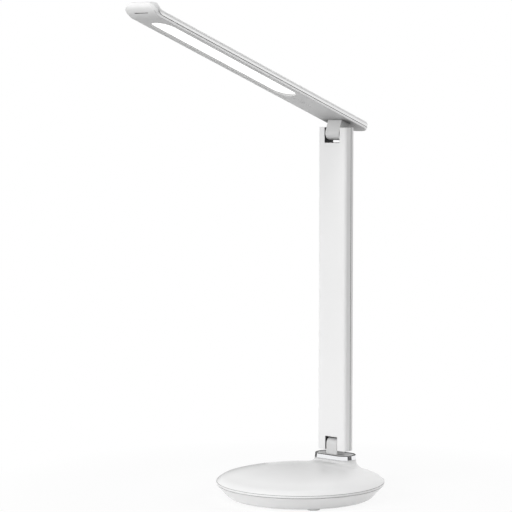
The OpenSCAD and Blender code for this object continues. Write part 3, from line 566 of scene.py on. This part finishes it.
def softCopy(name, node, finish, body, width, segments=3, paint=None, shift=None):
    # a node's own shape with its hard edges rounded off; shift moves each point first
    mesh = bmesh.new()
    mesh.from_mesh(nodes[node].data)
    bmesh.ops.remove_doubles(mesh, verts=mesh.verts, dist=softening["weld"])
    bmesh.ops.dissolve_degenerate(mesh, dist=softening["weld"], edges=mesh.edges)
    bmesh.ops.dissolve_limit(mesh, angle_limit=math.radians(softening["flat"]), verts=mesh.verts,
                             edges=mesh.edges)
    if shift:
        for vertex in mesh.verts:
            vertex.co = shift(vertex.co)
    data = meshData(name, mesh, outward=False)
    data.shade_smooth()
    scratch = newObject(name + "Scratch", data)
    rounding = scratch.modifiers.new("rounding", "BEVEL")
    rounding.width = width * mm
    rounding.segments = segments
    rounding.limit_method = "ANGLE"
    rounding.angle_limit = math.radians(softening["sharp"])
    rounding.use_clamp_overlap = False
    flatten = scratch.modifiers.new("flatten", "WEIGHTED_NORMAL")
    flatten.mode = "FACE_AREA"
    flatten.weight = softening["faceWeight"]
    graph = bpy.context.evaluated_depsgraph_get()
    final = bpy.data.meshes.new_from_object(scratch.evaluated_get(graph), preserve_all_data_layers=True,
                                            depsgraph=graph)
    bpy.data.objects.remove(scratch)
    final.name = name
    placePiece(name, final, finish, body, node, None, paint)


# base

domeCover = {
    "rim": 85.0, "rimHeight": 17.0, "band": 2.0, "rise": 15.6, "crown": 286.0, "shoulder": 8.0,
    "wall": 2.4, "lineDepth": 0.5, "lineHeight": 0.35,
    "boss": (46.5, 25.0, 11.0), "bossBehind": 55.6, "bossTop": 32.8,
    "bossEdge": ((3.0, 0), (0.45, 0), (0.13, 0.13), (0, 0.45)),  # in from its side, down from its top
    "flare": 8.0,      # how far the hollow flare runs out over the dome
    "flareDrop": 7.0,  # how high it starts up the boss
    "flarePull": (0.62, 0.42),  # how long its curve keeps to the boss, and to the dome
    "flareSteps": 14,
    "rings": 40,
    "spacing": 1.7,    # draws the rings closer towards the rim
    "lastRing": 0.25,  # its distance inside the rim
    "inside": (81.5, 79, 76, 70, 60, 45, 28, 12, 3),  # distances of the rings on the inner face
}


def domeProfile(look):
    # height of the dome over a point at this distance from the middle
    middle = look["rimHeight"] + look["rise"] - look["crown"]
    edge = look["rim"] - look["shoulder"]
    edgeHeight = middle + math.sqrt(look["crown"] ** 2 - edge ** 2)
    out = Vector((edge, edgeHeight - middle)) / look["crown"]
    toCrown = Vector((edge - look["rim"], edgeHeight - look["rimHeight"]))
    bend = toCrown.dot(toCrown) / (2 * out.dot(toCrown))
    centre = Vector((edge, edgeHeight)) - bend * out

    def height(away):
        if away <= edge:
            return middle + math.sqrt(look["crown"] ** 2 - away ** 2)
        return centre.y + math.sqrt(max(bend ** 2 - (away - centre.x) ** 2, 0))

    return height


def makeDomeCover(look):
    height = domeProfile(look)
    top, behind, reach = look["bossTop"], look["bossBehind"], look["flare"]
    outline = roundOutline(*look["boss"], 36, 30)
    starts = [point + Vector((0, behind)) for point, _ in outline]
    outs = [out for _, out in outline]
    rings = [flatRing([start - out * inset for start, out in zip(starts, outs)], top - drop)
             for inset, drop in look["bossEdge"]]
    # hollow flare: leaves the boss upright and meets the dome along its slope
    keepUp, keepOut = look["flarePull"]
    feet, curves = [], []
    for start, out in zip(starts, outs):
        foot = start + out * reach
        low = height(foot.length)
        slope = (height((foot + out * 0.05).length) - height((foot - out * 0.05).length)) / 0.1
        high = min(top - 0.5, height(start.length) + look["flareDrop"])
        curves.append((Vector((0, high)), Vector((0, high + (low - slope * reach - high) * keepUp)),
                       Vector((reach * keepOut, low - slope * reach * (1 - keepOut))), Vector((reach, low))))
        feet.append(foot)
    for step in range(look["flareSteps"] + 1):
        t = step / look["flareSteps"]
        ring = []
        for start, out, (a, b, c, d) in zip(starts, outs, curves):
            at = a * (1 - t) ** 3 + b * 3 * t * (1 - t) ** 2 + c * 3 * t * t * (1 - t) + d * t ** 3
            spot = start + out * at.x
            ring.append((spot.x * mm, spot.y * mm, at.y * mm))
        rings.append(ring)
    # open dome, from the flare's foot out to a circle just inside the rim
    middle = Vector((0, behind))
    circle = look["rim"] - look["lastRing"]
    goals = []
    for foot in feet:
        ray = (foot - middle).normalized()
        along = -middle.dot(ray) + math.sqrt(middle.dot(ray) ** 2 + circle ** 2 - middle.length_squared)
        goals.append(middle + ray * along)
    for step in range(1, look["rings"] + 1):
        t = 1 - (1 - step / look["rings"]) ** look["spacing"]
        spots = [foot.lerp(goal, t) for foot, goal in zip(feet, goals)]
        rings.append([(spot.x * mm, spot.y * mm, height(spot.length) * mm) for spot in spots])
    # rim band under its fine line, then the inner face
    rim, level, wall = look["rim"], look["rimHeight"], look["wall"]
    inner, line, bottom = rim - look["lineDepth"], level + look["lineHeight"], level - look["band"]
    profile = [(rim - 0.06, line + 0.02), (rim - 0.2, line - 0.02), (inner, line - 0.04), (inner, level + 0.04),
               (rim - 0.2, level), (rim - 0.05, level - 0.06), (rim, level - 0.22), (rim, bottom + 0.3),
               (rim - 0.08, bottom + 0.09), (rim - 0.3, bottom), (rim - wall, bottom)]
    profile += [(away, height(away) - wall) for away in look["inside"]]
    rings += turnedRings(profile, [math.atan2(goal.y, goal.x) for goal in goals])
    mesh = bmesh.new()
    loft(mesh, rings)
    meshPiece("domeCover", mesh, ["glossWhite"], "base", "base_top_cover")


makeDomeCover(domeCover)

lowerBowl = {
    "joint": 15.0, "gap": 0.5, "gapDepth": 1.0, "rim": 85.0, "floor": 72.5, "foot": 1.0,
    "lowerEdge": 9.0,  # radius of the soft lower edge
    "wall": 2.4,
    "seat": (81.8, 81.2),   # the joint's inner edge, and the wall just under it
    "floorRings": (50, 20),  # distances of the rings on the flat floor
    "steps": 240,
    "mouth": (12.8, 6.9, 9.2),  # width, height and level of the plug's mouth
    "mouthFlare": ((68, 0), (78.6, 0), (79.4, 0.25), (80.4, 0.9), (95, 9)),  # distance, and how much wider
}


def makeLowerBowl(look):
    foot, wall, joint, rim = look["foot"], look["wall"], look["joint"], look["rim"]
    slope = (rim - look["floor"]) / (joint - foot)
    lean = math.atan2(1, slope)
    edge = look["lowerEdge"]
    topEdge = joint - look["gap"]
    side = look["floor"] + (topEdge - foot) * slope
    reach = edge * math.tan(lean / 2)  # from the sharp corner to where the round starts
    middle = Vector((look["floor"] - reach, foot + edge))
    profile = [(away, foot) for away in look["floorRings"][::-1]]
    for turn in arcSteps(14, -90, -90 + math.degrees(lean)):
        profile.append((middle.x + edge * math.cos(turn), middle.y + edge * math.sin(turn)))
    inner = look["floor"] - wall * 1.2
    seat, underSeat = look["seat"]
    profile += [(side - 0.35 * slope, topEdge - 0.35), (side - 0.1, topEdge - 0.08), (side - 0.4, topEdge),
                (rim - look["gapDepth"], topEdge), (rim - look["gapDepth"], joint), (seat, joint),
                (underSeat, joint - 1), (inner + 1.5, foot + wall + 1), (inner - 2, foot + wall)]
    profile += [(away, foot + wall) for away in look["floorRings"]]
    mesh = bmesh.new()
    loft(mesh, turnedRings(profile, arcSteps(look["steps"], 0, 360)[:-1]))
    width, tall, level = look["mouth"]
    outline = roundOutline(width, tall, tall / 2 - 0.01, 16, 3)
    cutter = bmesh.new()
    loft(cutter, [[((point + out * wider).x * mm, away * mm, (level + (point + out * wider).y) * mm)
                   for point, out in outline] for away, wider in look["mouthFlare"]])
    bowl = newObject("bowlScratch", meshData("lowerBowl", mesh))
    tool = newObject("mouthScratch", meshData("mouthCutter", cutter))
    carve = bowl.modifiers.new("mouth", "BOOLEAN")
    carve.operation, carve.solver, carve.object = "DIFFERENCE", "EXACT", tool
    final = bpy.data.meshes.new_from_object(bowl.evaluated_get(bpy.context.evaluated_depsgraph_get()))
    final.name = "lowerBowl"
    for thing in (bowl, tool):
        bpy.data.objects.remove(thing)
    placePiece("lowerBowl", final, ["bowlWhite"], "base", "base_bowl")


makeLowerBowl(lowerBowl)

feet = {"ring": 65.0, "angles": (-38, 38, 142, 218), "radius": 6.5, "top": 1.8, "soft": 0.55,
        "hollow": 0.12}  # depth of the dish in the middle of each


def makeFeet(look):
    radius, top, soft = look["radius"], look["top"], look["soft"]
    profile = [(radius * 0.55, look["hollow"]), (radius * 0.62, 0.0)]
    for turn in arcSteps(6, -90, 0):
        profile.append((radius - soft * (1 - math.cos(turn)), soft * (1 + math.sin(turn))))
    profile += [(radius, top - 0.2), (radius - 0.2, top)]
    mesh = bmesh.new()
    for angle in look["angles"]:
        middle = Vector((look["ring"] * math.cos(math.radians(angle)),
                         look["ring"] * math.sin(math.radians(angle))))
        loft(mesh, turnedRings(profile, arcSteps(64, 0, 360)[:-1], middle))
    meshPiece("rubberFeet", mesh, ["paleRubber"], "base", "rubber_feet")


makeFeet(feet)

collar = {"plan": (46.5, 25.0, 11.0), "behind": 55.6, "low": 32.8, "high": 37.8, "wall": 1.5,
          "outerEdge": 0.95, "innerEdge": 0.3,
          "draft": 0.45,   # how far the outer wall leans in
          "sealed": 0.7,   # height of the dark edge along the top, painted shade
          "skin": 1.1}     # depth from which the wall counts as its inside


def collarPaint(face):
    # 1 on the dark edge along the top and on the inner wall, which get painted shade
    outside = outsideBy(face, collar["plan"], collar["behind"])
    return 1 if face.center.z / mm > collar["high"] - collar["sealed"] or outside < -collar["skin"] else 0


def makeCollar(look):
    outline = roundOutline(*look["plan"], 40, 24)
    low, high, wall, draft = look["low"], look["high"], look["wall"], look["draft"]
    outer, inner = look["outerEdge"], look["innerEdge"]
    profile = [(0.3, low), (0.08, low + 0.08), (0, low + 0.3)]
    profile += [(draft * step / 6, low + 0.4 + (high - low - outer - 0.5) * step / 6) for step in range(7)]
    profile += [(draft + outer * (1 - math.cos(turn)), high - outer * (1 - math.sin(turn)))
                for turn in arcSteps(10)]
    profile += [(wall - inner * (1 - math.cos(turn)), high - inner * (1 - math.sin(turn)))
                for turn in arcSteps(4, 90, 0)]
    profile += [(wall, low + 0.1), (wall - 0.1, low)]
    mesh = bmesh.new()
    loft(mesh, [flatRing([point - out * inset for point, out in outline], level, look["behind"])
                for inset, level in profile], loop=True)
    meshPiece("collarRing", mesh, ["brightPlating", "paintedShadeDark"], "base", "collar_ring", 50, collarPaint)


makeCollar(collar)
softCopy("collarPlate", "collar_plate", ["plateGrey"], "base", 0.25)
softCopy("hingePost", "hinge_post", ["postGrey"], "base", 0.6)
print("lamp: base pieces made")


# arm

armOutside = {"plan": (37, 14.2, 3.6), "behind": 55.6, "z": (41.7, 372.5),
              "skin": 0.55}  # depth from which a face counts as inside


def armPaint(face):
    # 1 on everything inside the arm, its slots among it, which gets painted shade
    low, high = armOutside["z"]
    rise = face.center.z / mm
    outside = outsideBy(face, armOutside["plan"], armOutside["behind"])
    return 1 if max(outside, low - rise, rise - high) < -armOutside["skin"] else 0


softCopy("armFrontShell", "arm_front_shell", ["satinWhite", "paintedShadeDark"], "arm", 0.3, 2, armPaint)
softCopy("armBackCover", "arm_back_cover", ["satinWhite", "paintedShadeDark"], "arm", 0.25, 2, armPaint)
print("lamp: arm pieces made")


# head

def intoHead(point):
    # a point of the lamp in the head's own axes: across, along (front negative), up from its underside
    turn = math.radians(headFrame["tilt"])
    back, rise = point[1] / mm - headFrame["behind"], point[2] / mm - headFrame["pin"]
    return (point[0] / mm, back * math.cos(turn) - rise * math.sin(turn),
            back * math.sin(turn) + rise * math.cos(turn) - headFrame["lift"])


def outOfHead(across, along, up):
    turn = math.radians(headFrame["tilt"])
    up = up + headFrame["lift"]
    return Vector((across * mm, (headFrame["behind"] + along * math.cos(turn) + up * math.sin(turn)) * mm,
                   (headFrame["pin"] - along * math.sin(turn) + up * math.cos(turn)) * mm))


def bezelPaint(face):
    # 1 on the upright wall of the window's recess, which gets painted shade
    across, along, up = intoHead(face.center)
    width, near, far = headFrame["window"]
    nearest = min(max(along, -far + width / 2), -near - width / 2)
    edge = math.hypot(across, along - nearest) - width / 2
    inward, outward = headFrame["recessWall"]
    return 1 if inward < edge < outward and 0.02 < up < headFrame["recess"] + 0.6 else 0


noseWrap = {
    "bend": (294.0, 21.5),   # middle of the upward bend: ahead of the pin, above the underside
    "thick": 8.0,
    "joint": 2.6,            # height of the joint line along the straight
    "over": 4.8,             # its height round the nose
    "turns": (4.0, 38.0),    # where in the bend it climbs, in degrees
    "end": (4.4, 17.5, 38.4),  # the round end: its radius, its place from the bend's middle, its angle
    "soft": (2.5, 3.9),      # how early the underside starts to round, and that oval's height
}


def wrapNose(point):
    # the bezel runs up over the nose, so the joint line climbs there, and the trimmed end is rounded off
    across, along, up = intoHead(point)
    ahead, drop = -along - noseWrap["bend"][0], noseWrap["bend"][1] - up
    turn = math.degrees(math.atan2(ahead, drop))
    begin, full = noseWrap["turns"]
    if ahead <= 0 or drop <= 0 or turn <= begin:
        return point
    share = min((turn - begin) / (full - begin), 1)
    thick, joint = noseWrap["thick"], noseWrap["joint"]
    goal = joint + (noseWrap["over"] - joint) * share * share * (3 - 2 * share)
    radius = math.hypot(ahead, drop)
    level = min(max(noseWrap["bend"][1] - radius, 0), thick)
    if level < joint:
        moved = level * goal / joint
    else:
        moved = thick - (thick - level) * (thick - goal) / (thick - joint)
    radius -= moved - level
    endRadius, endAt, endTurn = noseWrap["end"]
    lean = math.radians(turn - endTurn)
    beyond, away = radius * math.sin(lean), radius * math.cos(lean)
    if lean > 0:
        before = (radius + moved - level) * math.cos(lean)
        widths = [math.sqrt(max(endRadius ** 2 - (spot - endAt) ** 2, 0.36)) for spot in (before, away)]
        beyond = (radius + moved - level) * math.sin(lean) * widths[1] / widths[0]
    early, tall = noseWrap["soft"]
    if away > endAt and -early < beyond < endRadius:
        outer = min(math.sqrt(noseWrap["bend"][1] ** 2 - beyond ** 2) - endAt,
                    math.sqrt(max(endRadius ** 2 - beyond ** 2, 0.04)))
        oval = tall * math.sqrt(max(1 - ((beyond + early) / (endRadius + early)) ** 2, 0))
        away = endAt + (away - endAt) * min(max(oval, 0.1) / outer, 1)
    base = math.radians(endTurn)
    ahead = beyond * math.cos(base) + away * math.sin(base)
    drop = away * math.cos(base) - beyond * math.sin(base)
    return outOfHead(across, -ahead - noseWrap["bend"][0], noseWrap["bend"][1] - drop)


softCopy("headBezel", "head_bezel", ["bezelWhite", "paintedRecessShade"], "head", 0.22, 2, bezelPaint, wrapNose)
softCopy("headCover", "head_top_cover", ["coverWhite"], "head", 0.22, 2, None, wrapNose)
softCopy("hingeTongue", "hinge_tongue", ["postGrey"], "head", 0.45)

diffuser = {"low": 2.5, "rim": 0.35, "rimLow": 1.3}  # heights above the head's underside, and the rim's width


def makeDiffuser(look):
    # the lit sheet, and the short upright rim that it sits behind
    spots = [intoHead(vertex.co) for vertex in nodes["light_diffuser"].data.vertices]
    wide = max(spot[0] for spot in spots)
    near, far = max(spot[1] for spot in spots), min(spot[1] for spot in spots)
    top = max(spot[2] for spot in spots)

    def ring(outline, middle, up):
        return [outOfHead(point.x, middle + point.y, up) for point, _ in outline]

    sheet = roundOutline(2 * wide, near - far, wide - 0.01, 28, 24)
    mesh = bmesh.new()
    loft(mesh, [ring(sheet, (near + far) / 2, up)
                for up in (look["low"], look["low"] + 0.1, top - 0.1, top)])
    meshPiece("litSheet", mesh, ["litOpal"], "head", "light_diffuser")
    width, begin, end = headFrame["window"]
    inner, outer = (roundOutline(width + 2 * more, end - begin + 2 * more, width / 2 + more - 0.01, 28, 24)
                    for more in (0.02, look["rim"]))
    under, over = look["rimLow"], look["low"] - 0.02
    mesh = bmesh.new()
    loft(mesh, [ring(outline, -(begin + end) / 2, up) for outline, up in
                ((inner, under), (inner, over), (outer, over), (outer, under))], loop=True)
    # the rim wears the same painted shade as the recess wall
    meshPiece("windowRim", mesh, ["paintedRecessShade"], "head", None)


makeDiffuser(diffuser)

touchMarks = {"places": (-51, -61, -71), "radius": 2.7, "line": 0.32, "dot": 0.8,
              "bar": (2.6, 0.5, 0.24),  # length, width and corner
              "sunk": 0.02, "proud": 0.03}


def makeTouchMarks(look):
    # plain printed rings: a dot in the first and a bar in the second
    mesh = bmesh.new()
    outer, inner = look["radius"], look["radius"] - look["line"]
    under, over = look["sunk"], -look["proud"]

    def circle(along, away, up):
        return [outOfHead(away * math.cos(turn), along + away * math.sin(turn), up)
                for turn in arcSteps(48, 0, 360)[:-1]]

    for at, along in enumerate(look["places"]):
        loft(mesh, [circle(along, away, up) for away, up in
                    ((outer, under), (outer, over), (inner, over), (inner, under))], loop=True)
        if at == 0:
            loft(mesh, [circle(along, look["dot"], up) for up in (under, over)])
        if at == 1:
            bar = roundOutline(*look["bar"], 6, 2)
            loft(mesh, [[outOfHead(point.x, along + point.y, up) for point, _ in bar] for up in (under, over)])
    meshPiece("touchMarks", mesh, ["markGrey"], "head", None)


makeTouchMarks(touchMarks)
print("lamp: head pieces made")


# light, floor and backdrop

sky = {
    "horizon": 0.92,    # plain light from all round, softer from above
    "zenith": 0.05,
    "gloss": (0.4, 0.8, 0.1),  # what gloss sees: white up to the first height, dim from the second
}

lights = {  # turn and rise in degrees: round from straight ahead towards +X, and up
    "keyLight": {"turn": -8, "rise": 17, "away": 2.2, "size": 1.3, "power": 22.0},
    "sideLight": {"turn": 158, "rise": 22, "away": 2.2, "size": 0.9, "power": 13.0},
    "fillLight": {"turn": 15, "rise": 62, "away": 2.2, "size": 1.2, "power": 15.0},
}

floorLook = {
    "half": 12,
    "tone": (0.92, 0.35),  # close to the lamp, and far from it
    "white": 0.9,  # share of plain white in what is seen of the floor, close to the lamp
    "near": 0.11,
    "far": 0.35,
}

flags = {
    "away": 0.2, "steps": 12, "tone": 0.14, "rough": 0.9,
    "spans": ((97, 142, 0.02, 0.06), (-128, -80, 0.008, 0.04)),  # from and to in degrees, low and high in m
}


def softLight(name, look, target=(0, 0, 0.25)):
    data = bpy.data.lights.new(name, "AREA")
    data.shape = "DISK"
    data.size = look["size"]
    data.energy = look["power"]
    turn, rise = math.radians(look["turn"]), math.radians(look["rise"])
    toward = Vector((math.sin(turn) * math.cos(rise), -math.cos(turn) * math.cos(rise), math.sin(rise)))
    lamp = newObject(name, data)
    lamp.location = Vector(target) + toward * look["away"]
    lamp.rotation_euler = (Vector(target) - lamp.location).to_track_quat("-Z", "Y").to_euler()
    lamp.visible_glossy = False


def makeWorld(look):
    world = bpy.data.worlds.new("studioWorld")
    scene.world = world
    world.use_nodes = True
    tree = world.node_tree
    tree.nodes.clear()
    background = addNode(tree, "ShaderNodeBackground", (4, 0))
    output = addNode(tree, "ShaderNodeOutputWorld", (5, 0))
    where = addNode(tree, "ShaderNodeTexCoord", (-2, -2))
    split = addNode(tree, "ShaderNodeSeparateXYZ", (-1, -2))
    tree.links.new(where.outputs["Generated"], split.inputs[0])
    whiteTo, dimFrom, dim = look["gloss"]
    light = rangeNode(tree, (0, -2), split.outputs["Z"], 0.0, 1.0, look["horizon"], look["zenith"])
    mirrored = rangeNode(tree, (0, -3), split.outputs["Z"], whiteTo, dimFrom, 1.0, dim)
    path = addNode(tree, "ShaderNodeLightPath", (-2, 0))
    unlit = rangeNode(tree, (1, -2), path.outputs["Is Glossy Ray"], 0.0, 1.0, light, mirrored)
    seen = mathNode(tree, (0, 0), "MAXIMUM", path.outputs["Is Camera Ray"],
                    path.outputs["Is Transmission Ray"])
    setInputs(tree, background, {"Color": (1, 1, 1, 1),
                                 "Strength": rangeNode(tree, (2, 0), seen, 0.0, 1.0, unlit, 1.0)})
    tree.links.new(background.outputs[0], output.inputs[0])


def makeFlags(look):
    # dark cards round the base that only gloss sees
    material, tree, shader = newMaterial("darkCard")
    setInputs(tree, shader, {"Base Color": grey(look["tone"]), "Roughness": look["rough"]})
    for number, (begin, end, low, high) in enumerate(look["spans"]):
        name = "flag" + str(number)
        mesh = bmesh.new()
        rows = [[mesh.verts.new((look["away"] * math.sin(turn), -look["away"] * math.cos(turn), level))
                 for level in (low, high)] for turn in arcSteps(look["steps"], begin, end)]
        for first, second in zip(rows, rows[1:]):
            mesh.faces.new((first[0], second[0], second[1], first[1]))
        data = meshData(name, mesh, outward=False)
        data.materials.append(material)
        flag = newObject(name, data)
        flag.visible_camera = flag.visible_diffuse = False
        flag.visible_transmission = flag.visible_shadow = False


def makeFloor(look):
    mesh = bpy.data.meshes.new("studioFloor")
    half, near, far = look["half"], look["near"], look["far"]
    corners = [(-half, -half, 0), (half, -half, 0), (half, half, 0), (-half, half, 0)]
    mesh.from_pydata(corners, [], [(0, 1, 2, 3)])
    floor = newObject("studioFloor", mesh)
    material = bpy.data.materials.new("palePaper")
    material.use_nodes = True
    tree = material.node_tree
    tree.nodes.clear()
    output = addNode(tree, "ShaderNodeOutputMaterial", (5, 0))
    paper = addNode(tree, "ShaderNodeBsdfDiffuse", (1, 1))
    glow = addNode(tree, "ShaderNodeEmission", (1, -1))
    mix = addNode(tree, "ShaderNodeMixShader", (3, 0))
    away = vectorNode(tree, (-4, 3), "LENGTH", objectPlace(tree, (-5, 3)))
    share = rangeNode(tree, (-3, 3), away, near, far, look["white"], 1.0)
    setInputs(tree, paper, {"Color": rangeNode(tree, (-3, 5), away, near * 1.5, far, *look["tone"])})
    # the camera, a mirror or clear glass sees the floor paler than it lights the lamp
    path = addNode(tree, "ShaderNodeLightPath", (-3, 2))
    some = mathNode(tree, (-2, 2), "MAXIMUM", path.outputs["Is Camera Ray"], path.outputs["Is Glossy Ray"])
    seen = mathNode(tree, (-1, 2), "MAXIMUM", some, path.outputs["Is Transmission Ray"])
    setInputs(tree, mix, {0: mathNode(tree, (1, 2), "MULTIPLY", seen, share), 1: paper.outputs[0],
                          2: glow.outputs[0]})
    tree.links.new(mix.outputs[0], output.inputs[0])
    mesh.materials.append(material)


scene.view_settings.view_transform = "Standard"
makeWorld(sky)
makeFloor(floorLook)
makeFlags(flags)
for name, look in lights.items():
    softLight(name, look)
print("lamp: studio lit")
